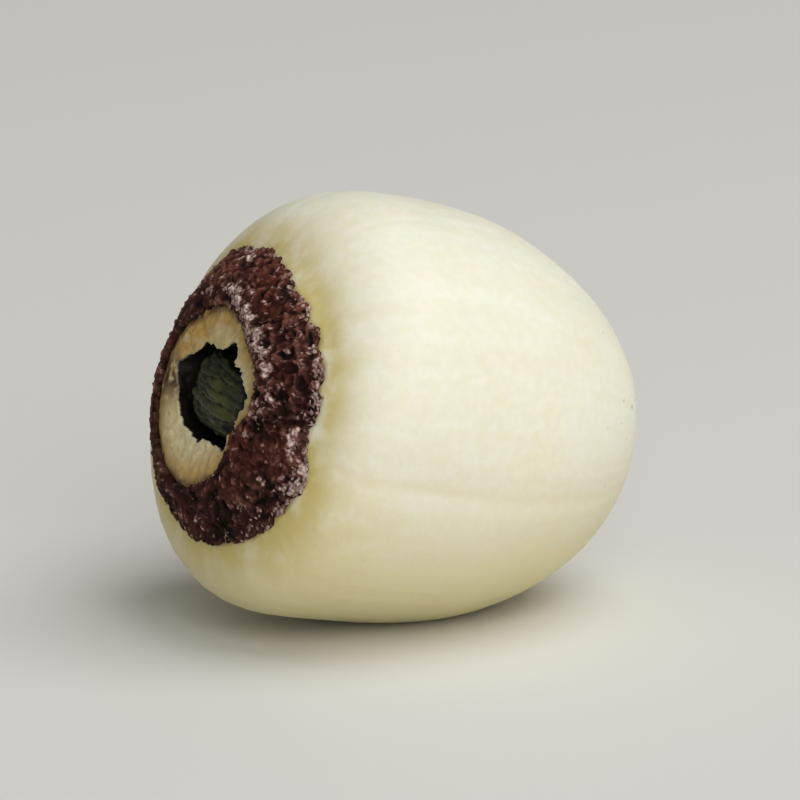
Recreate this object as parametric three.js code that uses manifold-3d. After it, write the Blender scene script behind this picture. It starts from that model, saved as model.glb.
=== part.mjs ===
// A dried, peeled lotus seed lying on its side, in millimetres, +Z up.
// The kernel is the two thick seed leaves grown together, with a torn mouth at one end and a hollow behind.
// A rough ring of dark seed coat is left round the mouth, and the dried green plumule stands in the hollow.
// Each piece is made upright, its mouth up along +Y, and is then laid down with the mouth towards -X.
// Azimuths go round the upright axis, from the side that lies uppermost towards +Y of the finished part.
import * as THREE from "three";
import { mergeVertices } from "three/addons/utils/BufferGeometryUtils.js";
import Module from "manifold-3d";

const { degToRad, lerp, smoothstep } = THREE.MathUtils;

// Body
const SEED_RADIUS = 6.5;
const MOUTH_LENGTH = 4.9; // from the widest section to the mouth end's blunt top
const END_LENGTH = 9.0; // from the widest section to the round end
const MOUTH_BLUNTNESS = 3.0; // of the mouth end's upper side; 2 is an ellipse, more is squarer
const UNDERSIDE_BLUNTNESS = 5.5; // of the mouth end's lower side
const END_BLUNTNESS = 2.1;
const MOUTH_SLANT = degToRad(2.5); // the mouth end faces a little upwards
const WANDERING = [
  { waves: 2, reach: 0.07, twist: 0, start: 0.6 },
  { waves: 3, reach: 0.04, twist: 0.35, start: 2 },
]; // how the sides wander from round; twist turns the waves along the seed, in radians per millimetre

// Seam between the two seed leaves
const SEAM_AZIMUTH = degToRad(77);
const SEAM_DEPTH = 0.06;
const SEAM_HALF_WIDTH = degToRad(5);

// Mouth, and the hollow behind it; the long way of both lies along the seam
const CROWN_RADIUS = 4.6; // the mouth stands on a low crown that starts here
const CROWN_RISE = 0.6;
const COLLAR_RADIUS = 2.8; // and is full here, where it dips into a shallow funnel
const FUNNEL_DEPTH = 0.12;
const MOUTH_HALF_LONG = 1.9;
const MOUTH_HALF_SHORT = 1.5;
const MOUTH_OFFSET = 0.35; // of the mouth and the hollow from the seed's axis
const OFFSET_AZIMUTH = degToRad(115); // where the mouth and the coat's opening are shifted to
const MOUTH_TEARS = [
  { azimuth: 22, halfWidth: 14, reach: -0.18 },
  { azimuth: 57, halfWidth: 12, reach: -0.2 },
  { azimuth: 82, halfWidth: 9, reach: 0.3 },
  { azimuth: 174, halfWidth: 10, reach: -0.16 },
  { azimuth: 209, halfWidth: 9, reach: 0.26 },
  { azimuth: 246, halfWidth: 14, reach: -0.18 },
  { azimuth: 272, halfWidth: 8, reach: 0.12 },
  { azimuth: 326, halfWidth: 8, reach: -0.1 },
  { azimuth: 346, halfWidth: 10, reach: 0.32 },
]; // degrees, and how far each tear goes out or each tooth stands in
const LIP_FRAY = { knots: 31, seed: 500, reach: 0.06 };
const THROAT_DROP = 0.6; // from the lip down to where the hollow has its full size
const HOLLOW_HALF_LONG = 2.1;
const HOLLOW_HALF_SHORT = 1.65;
const HOLLOW_DEPTH = 9.2;

// Remnant of the seed coat
const COAT_INNER_RADIUS = 2.7;
const COAT_OPENING_OFFSET = 0.6;
const COAT_OUTER_RADIUS = 4.55;
const COAT_THICKNESS = 0.18;
const COAT_EDGE_SHARE = 0.5; // thickness at the edges, as a share
const COAT_GRAIN = { knots: 60, seed: 1000, reach: 0.4 }; // reach as a share of the thickness
const COAT_INNER_TEARS = [
  { knots: 9, seed: 100, reach: 0.11 },
  { knots: 43, seed: 200, reach: 0.06 },
];
const COAT_OUTER_TEARS = [
  { knots: 11, seed: 300, reach: 0.16 },
  { knots: 47, seed: 400, reach: 0.1 },
];
const COAT_GAP = 0.05; // clearance to the kernel
const LOBE_AZIMUTH = degToRad(234); // the coat runs in to the mouth here
const LOBE_HALF_WIDTH = degToRad(24);
const LOBE_REACH = 0.55;
const NOTCH_AZIMUTH = degToRad(262); // and is torn in from outside here
const NOTCH_HALF_WIDTH = degToRad(9);
const NOTCH_DEPTH = 0.4;
const WORN_AZIMUTH = degToRad(335); // is worn back here
const WORN_HALF_WIDTH = degToRad(30);
const WORN_DEPTH = 0.4;
const TONGUE_AZIMUTH = degToRad(231); // and reaches further down the side here
const TONGUE_HALF_WIDTH = degToRad(18);
const TONGUE_REACH = 0.3;

// Plumule: a long leaf folded back at the top and a short leaf, both on a stubby root
const PLUMULE_RISE = 0.15; // of the fold over the lip
const LEAF_HALF_THICK = 0.5;
const LEAF_HALF_WIDE = 1.1;
const FOLD_HALF_WIDTH = 1.1; // to the middle of the leaf
const FOLD_CORNER_RADIUS = 0.55;
const FOLDED_LENGTH = 3.4; // of the long leaf, from the fold back to its tip
const SHORT_LEAF_HALF_THICK = 0.4;
const SHORT_LEAF_HALF_WIDE = 0.6;
const SHORT_LEAF_DROP = 1.8; // its tip below the fold
const SHORT_LEAF_OFFSET = 0.8;
const ROOT_LENGTH = 3.0;
const ROOT_RADIUS = 0.75;
const ROOT_STANDOFF = 0.4; // clearance under the root
const HEAD_SPREAD = 0.7; // how far the leaves are apart at the root's head, as a share
const TIP_SPREAD = 0.85; // and at their tips
const TIP_SHARE = 0.25; // how blunt the tips are, as a share of the full size
const END_ROUNDING = 6; // higher starts to round off closer to an end

// Lying down
const REST_TILT = degToRad(12.5); // the mouth end is raised by this
const FLAT_DEPTH = 0.2; // how much is flattened where the seed rests

// Facets
const KERNEL_COLUMNS = 84;
const SIDE_ROWS = 30;
const COLLAR_ROWS = 4;
const HOLLOW_ROWS = 9;
const COAT_COLUMNS = 120;
const COAT_TOP_ROWS = 7;
const COAT_UNDER_ROWS = 5;
const LEAF_SIDES = 14;
const BEND_STEPS = 7;
const LONG_LEAF_STEPS = 32;
const SHORT_LEAF_STEPS = 14;
const ROOT_STEPS = 8;

const wasm = await Module();
wasm.setup();

function toSolid(geometry) {
  const bare = geometry.clone();
  bare.deleteAttribute("normal");
  bare.deleteAttribute("uv");
  const merged = mergeVertices(bare);
  const vertProperties = new Float32Array(merged.attributes.position.array);
  const triVerts = new Uint32Array(merged.index.array);
  return new wasm.Manifold(new wasm.Mesh({ numProp: 3, vertProperties, triVerts }));
}

function toGeometry(solid) {
  const mesh = solid.getMesh();
  const geometry = new THREE.BufferGeometry();
  geometry.setAttribute("position", new THREE.BufferAttribute(mesh.vertProperties, 3));
  geometry.setIndex(new THREE.BufferAttribute(mesh.triVerts, 1));
  geometry.computeVertexNormals();
  return geometry;
}

// Evenly spaced shares from 0 to 1.
const shares = (steps) => Array.from({ length: steps + 1 }, (_, k) => k / steps);

// How full a piece still is at a share of the way to its rounded end.
const rounded = (share) => Math.sqrt(1 - share ** END_ROUNDING);

// A bell-shaped hill round an azimuth, 1 at its centre.
function hill(azimuth, centre, halfWidth) {
  const away = Math.atan2(Math.sin(azimuth - centre), Math.cos(azimuth - centre));
  return Math.exp(-((away / halfWidth) ** 2));
}

// A repeatable draw between -1 and 1 for each number.
function draw(number) {
  const wave = 43758.5453 * Math.sin(127.1 * number);
  return 2 * (wave - Math.floor(wave)) - 1;
}

// An uneven line round the axis, drawn at evenly spaced knots and blended between them.
function uneven(azimuth, { knots, seed, reach }) {
  const place = (knots * azimuth) / (2 * Math.PI);
  const knot = Math.floor(place);
  const from = draw(seed + (knot % knots));
  const to = draw(seed + ((knot + 1) % knots));
  return reach * lerp(from, to, smoothstep(place - knot, 0, 1));
}

const sum = (values) => values.reduce((total, value) => total + value, 0);

// Turns rows round the Y axis, each row's point at an azimuth where place(row, azimuth) puts it.
function turned(rows, columns, place) {
  const outline = rows.map((row) => {
    const point = place(row, 0);
    return new THREE.Vector2(Math.hypot(point.x, point.z), point.y);
  });
  const geometry = new THREE.LatheGeometry(outline, columns);
  const position = geometry.attributes.position;
  for (let i = 0; i <= columns; i++) {
    const azimuth = (2 * Math.PI * (i % columns)) / columns;
    rows.forEach((row, j) => {
      const point = place(row, azimuth);
      position.setXYZ(i * rows.length + j, point.x, point.y, point.z);
    });
  }
  return geometry;
}

// How blunt the mouth end is, from its upper side round to its lower side.
function mouthBluntness(azimuth) {
  const underside = ((1 - Math.cos(azimuth)) / 2) ** 2;
  return lerp(MOUTH_BLUNTNESS, UNDERSIDE_BLUNTNESS, underside);
}

// Height of the mouth end over a radius: a blunt dome with a low crown that dips into a funnel.
function endHeight(radius, azimuth) {
  const bluntness = mouthBluntness(azimuth);
  const dome = (1 - (radius / SEED_RADIUS) ** bluntness) ** (1 / bluntness);
  const rise = smoothstep(CROWN_RADIUS - radius, 0, CROWN_RADIUS - COLLAR_RADIUS);
  const dip = smoothstep(COLLAR_RADIUS - radius, 0, COLLAR_RADIUS - MOUTH_HALF_SHORT);
  return MOUTH_LENGTH * dome + CROWN_RISE * rise - FUNNEL_DEPTH * dip;
}

// The sides, by the angle from the mouth's pole over the widest section to the round end.
function sideOutline(angle, azimuth) {
  const onMouthSide = angle < Math.PI / 2;
  const power = 2 / (onMouthSide ? mouthBluntness(azimuth) : END_BLUNTNESS);
  const radius = SEED_RADIUS * Math.sin(angle) ** power;
  const endSide = -END_LENGTH * Math.abs(Math.cos(angle)) ** power;
  return { radius, height: onMouthSide ? endHeight(radius, azimuth) : endSide };
}

const LIP_HEIGHT = endHeight(MOUTH_HALF_SHORT, SEAM_AZIMUTH);
const HOLLOW_FLOOR = LIP_HEIGHT - HOLLOW_DEPTH;
const FOLD_TOP = LIP_HEIGHT + PLUMULE_RISE;

// How much further from the seed's axis an edge lies at an azimuth when its middle is shifted.
const shifted = (azimuth, offset) => offset * Math.cos(azimuth - OFFSET_AZIMUTH);

// Radius of an oval round the mouth's middle, its long way along the seam.
function oval(azimuth, halfLong, halfShort) {
  const turn = azimuth - SEAM_AZIMUTH;
  const radius = 1 / Math.hypot(Math.cos(turn) / halfLong, Math.sin(turn) / halfShort);
  return radius + shifted(azimuth, MOUTH_OFFSET);
}

// The mouth's edge: an oval with its tears and a little fraying.
function lipRadius(azimuth) {
  const tears = MOUTH_TEARS.map(
    (tear) => tear.reach * hill(azimuth, degToRad(tear.azimuth), degToRad(tear.halfWidth)),
  );
  return oval(azimuth, MOUTH_HALF_LONG, MOUTH_HALF_SHORT) + sum(tears) + uneven(azimuth, LIP_FRAY);
}

// A point of the seed, with the seam, the uneven sides and the slant of the mouth end.
function seedPoint(radius, azimuth, height) {
  const onSide = smoothstep(radius, COLLAR_RADIUS, SEED_RADIUS);
  const nearSeam = hill(azimuth, SEAM_AZIMUTH, SEAM_HALF_WIDTH);
  const farSeam = hill(azimuth, SEAM_AZIMUTH + Math.PI, SEAM_HALF_WIDTH);
  const wander = WANDERING.map(
    ({ waves, reach, twist, start }) => reach * Math.sin(waves * azimuth + twist * height + start),
  );
  const shaped = radius + onSide * (sum(wander) - SEAM_DEPTH * (nearSeam + farSeam));
  const point = new THREE.Vector3(shaped * Math.sin(azimuth), height, shaped * Math.cos(azimuth));
  point.y -= Math.tan(MOUTH_SLANT) * point.z * smoothstep(height, 0, MOUTH_LENGTH);
  return point;
}

// Lays an upright piece on its side.
const laidDown = (geometry) => geometry.rotateZ(Math.PI / 2).rotateY(REST_TILT);

// Kernel: up the sides from the round end, over the mouth end into the funnel, and down the hollow.
function kernelGeometry() {
  const onSides = (share) => (azimuth) => {
    const crestAngle = Math.asin((COLLAR_RADIUS / SEED_RADIUS) ** (mouthBluntness(azimuth) / 2));
    const { radius, height } = sideOutline(lerp(Math.PI, crestAngle, share), azimuth);
    return seedPoint(radius, azimuth, height);
  };
  const inFunnel = (share) => (azimuth) => {
    const radius = lerp(COLLAR_RADIUS, lipRadius(azimuth), share);
    return seedPoint(radius, azimuth, endHeight(radius, azimuth));
  };
  const inHollow = (share) => (azimuth) => {
    const radius = oval(azimuth, HOLLOW_HALF_LONG, HOLLOW_HALF_SHORT) * rounded(share);
    return seedPoint(radius, azimuth, lerp(LIP_HEIGHT - THROAT_DROP, HOLLOW_FLOOR, share));
  };
  const rows = [
    ...shares(SIDE_ROWS).map(onSides),
    ...shares(COLLAR_ROWS).slice(1).map(inFunnel),
    ...shares(HOLLOW_ROWS).map(inHollow),
  ];
  return laidDown(turned(rows, KERNEL_COLUMNS, (row, azimuth) => row(azimuth)));
}

// Flattens the underside where the seed rests.
function withFlatSpot(geometry) {
  geometry.computeBoundingBox();
  const { min, max } = geometry.boundingBox;
  const reach = max.x - min.x;
  const floor = new THREE.BoxGeometry(2 * reach, 2 * reach, reach);
  floor.translate(0, 0, min.z + FLAT_DEPTH - reach / 2);
  return toGeometry(toSolid(geometry).subtract(toSolid(floor)));
}

// Seed coat: a torn, grainy skin on the mouth end, with a lobe into the mouth, a notch, a worn side and a tongue.
function coatEdges(azimuth) {
  const lobe = LOBE_REACH * hill(azimuth, LOBE_AZIMUTH, LOBE_HALF_WIDTH);
  const notch = NOTCH_DEPTH * hill(azimuth, NOTCH_AZIMUTH, NOTCH_HALF_WIDTH);
  const worn = WORN_DEPTH * hill(azimuth, WORN_AZIMUTH, WORN_HALF_WIDTH);
  const tongue = TONGUE_REACH * hill(azimuth, TONGUE_AZIMUTH, TONGUE_HALF_WIDTH);
  const tears = (lines) => sum(lines.map((line) => uneven(azimuth, line)));
  return {
    inner: COAT_INNER_RADIUS + shifted(azimuth, COAT_OPENING_OFFSET) - lobe + tears(COAT_INNER_TEARS),
    outer: COAT_OUTER_RADIUS - notch - worn + tongue + tears(COAT_OUTER_TEARS),
  };
}

function coatPoint(azimuth, share, lift) {
  const { inner, outer } = coatEdges(azimuth);
  const radius = lerp(inner, outer, share);
  const step = 0.01;
  const slope = (endHeight(radius + step, azimuth) - endHeight(radius - step, azimuth)) / (2 * step);
  const unit = lift / Math.hypot(1, slope);
  return seedPoint(radius - slope * unit, azimuth, endHeight(radius, azimuth) + unit);
}

function coatGeometry() {
  const onTop = (share) => (azimuth) => {
    const grains = uneven(azimuth, { ...COAT_GRAIN, seed: COAT_GRAIN.seed * (1 + share) });
    const fullness = lerp(COAT_EDGE_SHARE, 1, Math.sin(Math.PI * share));
    return coatPoint(azimuth, share, COAT_GAP + COAT_THICKNESS * fullness * (1 + grains));
  };
  const underneath = (share) => (azimuth) => coatPoint(azimuth, share, COAT_GAP);
  const rows = [
    ...shares(COAT_TOP_ROWS).reverse().map(onTop),
    ...shares(COAT_UNDER_ROWS).map(underneath),
    onTop(1),
  ];
  return laidDown(turned(rows, COAT_COLUMNS, (row, azimuth) => row(azimuth)));
}

// A strand along a flat curve, oval in section, with rounded ends; flatNormal is the curve's plane.
function strand(points, flatNormal, halfThick, halfWide, steps) {
  const curve = new THREE.CatmullRomCurve3(points);
  const geometry = new THREE.CylinderGeometry(1, 1, 1, LEAF_SIDES, steps);
  const position = geometry.attributes.position;
  const carrier = new THREE.Vector3();
  for (let i = 0; i < position.count; i++) {
    carrier.fromBufferAttribute(position, i);
    const along = carrier.y + 0.5;
    const side = curve.getTangentAt(along).cross(flatNormal).normalize();
    const fullness = lerp(TIP_SHARE, 1, rounded(Math.abs(2 * along - 1)));
    const point = curve.getPointAt(along);
    point.addScaledVector(side, carrier.x * halfThick * fullness);
    point.addScaledVector(flatNormal, carrier.z * halfWide * fullness);
    position.setXYZ(i, point.x, point.y, point.z);
  }
  return geometry;
}

// Plumule: the fold lies in the plane of the seam, and the short leaf stands beside it.
function plumuleGeometry() {
  const alongSeam = new THREE.Vector3(Math.sin(SEAM_AZIMUTH), 0, Math.cos(SEAM_AZIMUTH));
  const up = new THREE.Vector3(0, 1, 0);
  const acrossSeam = new THREE.Vector3().crossVectors(alongSeam, up);
  const at = (sideways, direction, height) => direction.clone().multiplyScalar(sideways).setY(height);

  const rootFoot = HOLLOW_FLOOR + ROOT_STANDOFF;
  const rootHead = rootFoot + ROOT_LENGTH;
  const cornerHeight = FOLD_TOP - LEAF_HALF_THICK - FOLD_CORNER_RADIUS;
  const cornerPlace = FOLD_HALF_WIDTH - FOLD_CORNER_RADIUS;
  const bend = shares(BEND_STEPS).map((share) => {
    const across = -Math.cos(Math.PI * share);
    const sideways = Math.sign(across) * cornerPlace + FOLD_CORNER_RADIUS * across;
    const height = cornerHeight + FOLD_CORNER_RADIUS * Math.sin(Math.PI * share);
    return at(sideways, alongSeam, height);
  });
  const rootMiddle = (rootFoot + rootHead) / 2;
  const shortTip = FOLD_TOP - SHORT_LEAF_DROP;
  const longLeaf = [
    at(0, alongSeam, rootMiddle),
    at(-HEAD_SPREAD * FOLD_HALF_WIDTH, alongSeam, rootHead),
    at(-FOLD_HALF_WIDTH, alongSeam, (rootHead + cornerHeight) / 2),
    ...bend,
    at(FOLD_HALF_WIDTH, alongSeam, cornerHeight - FOLDED_LENGTH / 2),
    at(TIP_SPREAD * FOLD_HALF_WIDTH, alongSeam, cornerHeight - FOLDED_LENGTH),
  ];
  const shortLeaf = [
    at(0, acrossSeam, rootMiddle),
    at(HEAD_SPREAD * SHORT_LEAF_OFFSET, acrossSeam, rootHead),
    at(SHORT_LEAF_OFFSET, acrossSeam, (rootHead + shortTip) / 2),
    at(TIP_SPREAD * SHORT_LEAF_OFFSET, acrossSeam, shortTip),
  ];
  const root = [at(0, alongSeam, rootFoot), at(0, alongSeam, rootHead)];
  const strands = [
    strand(longLeaf, acrossSeam, LEAF_HALF_THICK, LEAF_HALF_WIDE, LONG_LEAF_STEPS),
    strand(shortLeaf, alongSeam, SHORT_LEAF_HALF_THICK, SHORT_LEAF_HALF_WIDE, SHORT_LEAF_STEPS),
    strand(root, acrossSeam, ROOT_RADIUS, ROOT_RADIUS, ROOT_STEPS),
  ];
  const joined = strands.map(toSolid).reduce((whole, next) => whole.add(next));
  const [x, z] = [MOUTH_OFFSET * Math.sin(OFFSET_AZIMUTH), MOUTH_OFFSET * Math.cos(OFFSET_AZIMUTH)];
  return laidDown(toGeometry(joined).translate(x, 0, z));
}

function piece(name, geometry, color, roughness) {
  const mesh = new THREE.Mesh(geometry, new THREE.MeshStandardMaterial({ color, roughness, metalness: 0 }));
  mesh.name = name;
  return mesh;
}

const lotusSeed = new THREE.Group();
lotusSeed.add(
  piece("kernel", withFlatSpot(kernelGeometry()), 0xe9e1c0, 0.6),
  piece("seed_coat_ring", coatGeometry(), 0x54352f, 0.85),
  piece("plumule", plumuleGeometry(), 0x3d3f24, 0.75),
);

// The origin is under the middle of the seed, on the surface that it rests on.
const extent = new THREE.Box3().setFromObject(lotusSeed, true);
const middle = extent.getCenter(new THREE.Vector3());
lotusSeed.position.set(-middle.x, -middle.y, -extent.min.z);

export default lotusSeed;
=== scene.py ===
# %% [markdown]
# # A dried lotus seed
# A peeled lotus seed lies on its side. It has three pieces: the cream kernel, a ring of dark seed
# coat that the peeling left round the mouth, and the dried green plumule in the hollow behind the
# mouth. The solids of these pieces come packed as a frame. Each one is replaced here by a finer
# mesh of the same form, which has the small things that a solid leaves out: torn edges, grains,
# flakes and wrinkles. The frame is loaded first, because every piece has to fit it.

# %% Load the frame
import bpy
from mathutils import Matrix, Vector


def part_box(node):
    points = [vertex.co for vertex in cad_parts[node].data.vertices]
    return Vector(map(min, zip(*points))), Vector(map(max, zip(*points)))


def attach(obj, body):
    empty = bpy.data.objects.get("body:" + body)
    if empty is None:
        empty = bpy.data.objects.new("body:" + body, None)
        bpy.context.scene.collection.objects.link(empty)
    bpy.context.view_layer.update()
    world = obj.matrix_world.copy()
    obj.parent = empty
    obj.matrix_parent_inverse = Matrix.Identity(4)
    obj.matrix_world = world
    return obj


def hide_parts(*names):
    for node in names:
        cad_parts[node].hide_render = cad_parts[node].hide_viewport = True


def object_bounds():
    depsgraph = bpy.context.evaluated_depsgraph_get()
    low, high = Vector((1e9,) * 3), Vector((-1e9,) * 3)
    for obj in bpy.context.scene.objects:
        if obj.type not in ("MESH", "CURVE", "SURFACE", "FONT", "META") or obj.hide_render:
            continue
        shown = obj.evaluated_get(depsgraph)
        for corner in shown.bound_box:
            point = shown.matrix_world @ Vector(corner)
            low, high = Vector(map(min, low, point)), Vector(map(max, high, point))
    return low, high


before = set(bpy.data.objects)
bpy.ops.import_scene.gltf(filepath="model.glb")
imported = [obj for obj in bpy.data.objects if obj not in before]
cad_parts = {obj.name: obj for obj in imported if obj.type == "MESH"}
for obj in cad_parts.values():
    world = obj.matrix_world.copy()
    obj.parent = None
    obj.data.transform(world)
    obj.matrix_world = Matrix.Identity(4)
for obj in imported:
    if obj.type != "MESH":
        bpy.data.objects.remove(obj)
cad_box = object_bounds()
MM = 0.001

print("nodes:", sorted(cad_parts))
print("box in mm:", [round(side / MM, 2) for side in cad_box[1] - cad_box[0]])

# %% [markdown]
# ## Round shapes from a few curves
# A seed is round but never exact, so each piece is made as rows of points round one axis. Where a
# point lies in its row is called its azimuth. A row could be drawn by hand or sculpted, but then
# it couldn't be made finer later. Curves do it better: a blend, a soft step, a hill at one
# azimuth, and an uneven line that is the same each time. They take whole numpy arrays, so a
# hundred thousand points take well under a second.

# %% Curves round the axis
import numpy as np

FULL_TURN = 2 * np.pi
DRAW_STEP, DRAW_SPREAD = 127.1, 43758.5453


def lerp(start, end, share):
    return start + (end - start) * share


def smoothstep(value, low, high):
    share = np.clip((value - low) / (high - low), 0, 1)
    return share * share * (3 - 2 * share)


def hill(azimuth, centre, half_width):
    """A bell-shaped hill, 1 at its centre. Its centre and half width are in degrees."""
    away = (azimuth - np.radians(centre) + np.pi) % FULL_TURN - np.pi
    return np.exp(-((away / np.radians(half_width)) ** 2))


def draw(number):
    """A repeatable draw between -1 and 1 for each number."""
    return 2 * ((DRAW_SPREAD * np.sin(DRAW_STEP * number)) % 1) - 1


def uneven(azimuth, knots, seed, reach):
    """An uneven line round the axis, drawn at even knots and blended between them."""
    place = knots * (azimuth % FULL_TURN) / FULL_TURN
    knot = np.floor(place)
    start, end = draw(seed + knot % knots), draw(seed + (knot + 1) % knots)
    return reach * lerp(start, end, smoothstep(place - knot, 0, 1))


def ragged(azimuth, lines):
    """Several uneven lines together, each given by its knots, seed and reach."""
    return sum(uneven(azimuth, *line) for line in lines)


print("an uneven line at four azimuths:", np.round(uneven(np.arange(4.0), 11, 300, 1.0), 3))

# %% [markdown]
# ## The form of the seed
# The kernel is a squarish dome at the mouth end and close to an ellipse at the round end, with a
# low crown round the mouth and a shallow funnel in it. The values are the solid's own, in
# millimetres and degrees, so the finer mesh lies in the same place. The seed is made upright,
# mouth up along Y, because its rows are then level circles.

# %% The seed's outline
SEED_RADIUS, MOUTH_LENGTH, END_LENGTH = 6.5, 4.9, 9.0
MOUTH_BLUNTNESS, UNDERSIDE_BLUNTNESS, END_BLUNTNESS = 3.0, 5.5, 2.1
CROWN_RADIUS, CROWN_RISE = 4.6, 0.6
COLLAR_RADIUS, FUNNEL_DEPTH = 2.8, 0.12
MOUTH_HALF_LONG, MOUTH_HALF_SHORT, MOUTH_SLANT = 1.9, 1.5, np.radians(2.5)
SEAM, SEAM_HALF_WIDTH, SEAM_DEPTH = 77, 5, 0.06
SEAM_AZIMUTH = np.radians(SEAM)
WANDERING = [(2, 0.07, 0.0, 0.6), (3, 0.04, 0.35, 2.0)]  # waves round, reach, twist and start


def mouth_bluntness(azimuth):
    return lerp(MOUTH_BLUNTNESS, UNDERSIDE_BLUNTNESS, ((1 - np.cos(azimuth)) / 2) ** 2)


def end_height(radius, azimuth):
    """Height of the mouth end over a radius."""
    bluntness = mouth_bluntness(azimuth)
    dome = (1 - np.minimum(radius / SEED_RADIUS, 1) ** bluntness) ** (1 / bluntness)
    rise = smoothstep(CROWN_RADIUS - radius, 0, CROWN_RADIUS - COLLAR_RADIUS)
    dip = smoothstep(COLLAR_RADIUS - radius, 0, COLLAR_RADIUS - MOUTH_HALF_SHORT)
    return MOUTH_LENGTH * dome + CROWN_RISE * rise - FUNNEL_DEPTH * dip


def seams(azimuth, half_width):
    return hill(azimuth, SEAM, half_width) + hill(azimuth, SEAM + 180, half_width)


def seed_point(radius, azimuth, height):
    """A point of the seed with its seam, its wandering sides and the slant of its mouth end."""
    on_side = smoothstep(radius, COLLAR_RADIUS, SEED_RADIUS)
    wander = sum(
        reach * np.sin(waves * azimuth + twist * height + start)
        for waves, reach, twist, start in WANDERING
    )
    shaped = radius + on_side * (wander - SEAM_DEPTH * seams(azimuth, SEAM_HALF_WIDTH))
    across, up = shaped * np.sin(azimuth), shaped * np.cos(azimuth)
    along = height - np.tan(MOUTH_SLANT) * up * smoothstep(height, 0, MOUTH_LENGTH)
    return np.stack([across, along, up], axis=-1)


LIP_HEIGHT = end_height(MOUTH_HALF_SHORT, SEAM_AZIMUTH)
print(f"the lip is {LIP_HEIGHT:.2f} mm over the widest section")

# %% [markdown]
# ## Torn edges
# The mouth is an oval that tore open where the shoot pressed, so its edge has a few deep tears and
# teeth, and is frayed all along. The coat round it was rubbed off in peeling, so both of its edges
# are ragged: a lobe runs in to the mouth, and outside there are a notch, a tongue and a side that
# is worn back. The large tears are the solid's. Finer uneven lines on top give the fraying that
# only shows from near by.

# %% Edges of the mouth and of the coat
MOUTH_TEARS = [  # azimuth and half width in degrees, and how far it reaches out
    (22, 14, -0.18), (57, 12, -0.2), (82, 9, 0.3), (174, 10, -0.16), (209, 9, 0.26),
    (246, 14, -0.18), (272, 8, 0.12), (326, 8, -0.1), (346, 10, 0.32),
]
LIP_FRAY = [(31, 500, 0.06), (89, 510, 0.06), (211, 520, 0.025)]  # knots, seed and reach
COAT_INNER_TEARS = [(9, 100, 0.11), (43, 200, 0.06), (113, 210, 0.06), (263, 220, 0.03)]
COAT_OUTER_TEARS = [(11, 300, 0.16), (47, 400, 0.1)]
COAT_OUTER_FRAY = [(139, 410, 0.08), (331, 420, 0.05)]
MOUTH_OFFSET, COAT_OPENING_OFFSET, OFFSET_AZIMUTH = 0.35, 0.6, np.radians(115)
COAT_INNER_RADIUS, COAT_OUTER_RADIUS, COAT_EDGE_INSET = 2.7, 4.55, 0.1
LOBE, LOBE_REACH = (234, 24), 0.55  # a place is its azimuth and half width in degrees
NOTCH, NOTCH_DEPTH = (262, 9), 0.4
WORN_SIDE, WORN_DEPTH = (335, 30), 0.4
TONGUE, TONGUE_REACH = (231, 18), 0.3


def shifted(azimuth, offset):
    """How much further from the axis an edge lies when its middle is shifted."""
    return offset * np.cos(azimuth - OFFSET_AZIMUTH)


def oval(azimuth, half_long, half_short):
    """Radius of an oval round the mouth's middle, its long way along the seam."""
    turn = azimuth - SEAM_AZIMUTH
    radius = 1 / np.hypot(np.cos(turn) / half_long, np.sin(turn) / half_short)
    return radius + shifted(azimuth, MOUTH_OFFSET)


def lip_radius(azimuth):
    tears = sum(reach * hill(azimuth, at, half) for at, half, reach in MOUTH_TEARS)
    return oval(azimuth, MOUTH_HALF_LONG, MOUTH_HALF_SHORT) + tears + ragged(azimuth, LIP_FRAY)


def coat_inner(azimuth):
    opening = COAT_INNER_RADIUS + shifted(azimuth, COAT_OPENING_OFFSET)
    return opening - LOBE_REACH * hill(azimuth, *LOBE) + ragged(azimuth, COAT_INNER_TEARS)


def coat_reach(azimuth):
    """The coat's outer edge without its fraying."""
    missing = NOTCH_DEPTH * hill(azimuth, *NOTCH) + WORN_DEPTH * hill(azimuth, *WORN_SIDE)
    tongue = TONGUE_REACH * hill(azimuth, *TONGUE)
    return COAT_OUTER_RADIUS - missing + tongue + ragged(azimuth, COAT_OUTER_TEARS)


def coat_outer(azimuth):
    return coat_reach(azimuth) - COAT_EDGE_INSET + ragged(azimuth, COAT_OUTER_FRAY)


def columns_round(count):
    """Even azimuths round the axis, as one row."""
    return np.linspace(0, FULL_TURN, count, endpoint=False)[None, :]


around = columns_round(720)
lip, inner, outer = lip_radius(around), coat_inner(around), coat_outer(around)
print(f"mouth {lip.min():.2f} to {lip.max():.2f} mm from the axis")
print(f"coat from {inner.min():.2f} to {outer.max():.2f} mm from the axis")

# %% [markdown]
# ## The kernel's rows
# The kernel is one skin: from the pole of the round end up the sides, over the crown to the torn
# lip, and down the hollow to its floor. A turned profile with a boolean for the hollow would leave
# a messy edge just where the eye goes, so the rows simply carry on through the mouth, close
# together there and wider apart on the sides.

# %% Rows of the kernel
KERNEL_COLUMNS = 440
SIDE_ROWS, COLLAR_ROWS, THROAT_ROWS, HOLLOW_ROWS = 120, 34, 12, 40
THROAT_DROP, HOLLOW_DEPTH, HOLLOW_HALF_LONG, HOLLOW_HALF_SHORT = 0.6, 9.2, 2.1, 1.65
THROAT_FOOT, HOLLOW_FLOOR = LIP_HEIGHT - THROAT_DROP, LIP_HEIGHT - HOLLOW_DEPTH
END_ROUNDING = 6


def shares(steps):
    """Shares from just over 0 to 1, one to a row."""
    return (np.arange(1, steps + 1) / steps)[:, None]


def rounded(share):
    """How full a piece still is at a share of the way to its rounded end."""
    return np.sqrt(np.maximum(1 - share**END_ROUNDING, 0))


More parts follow.
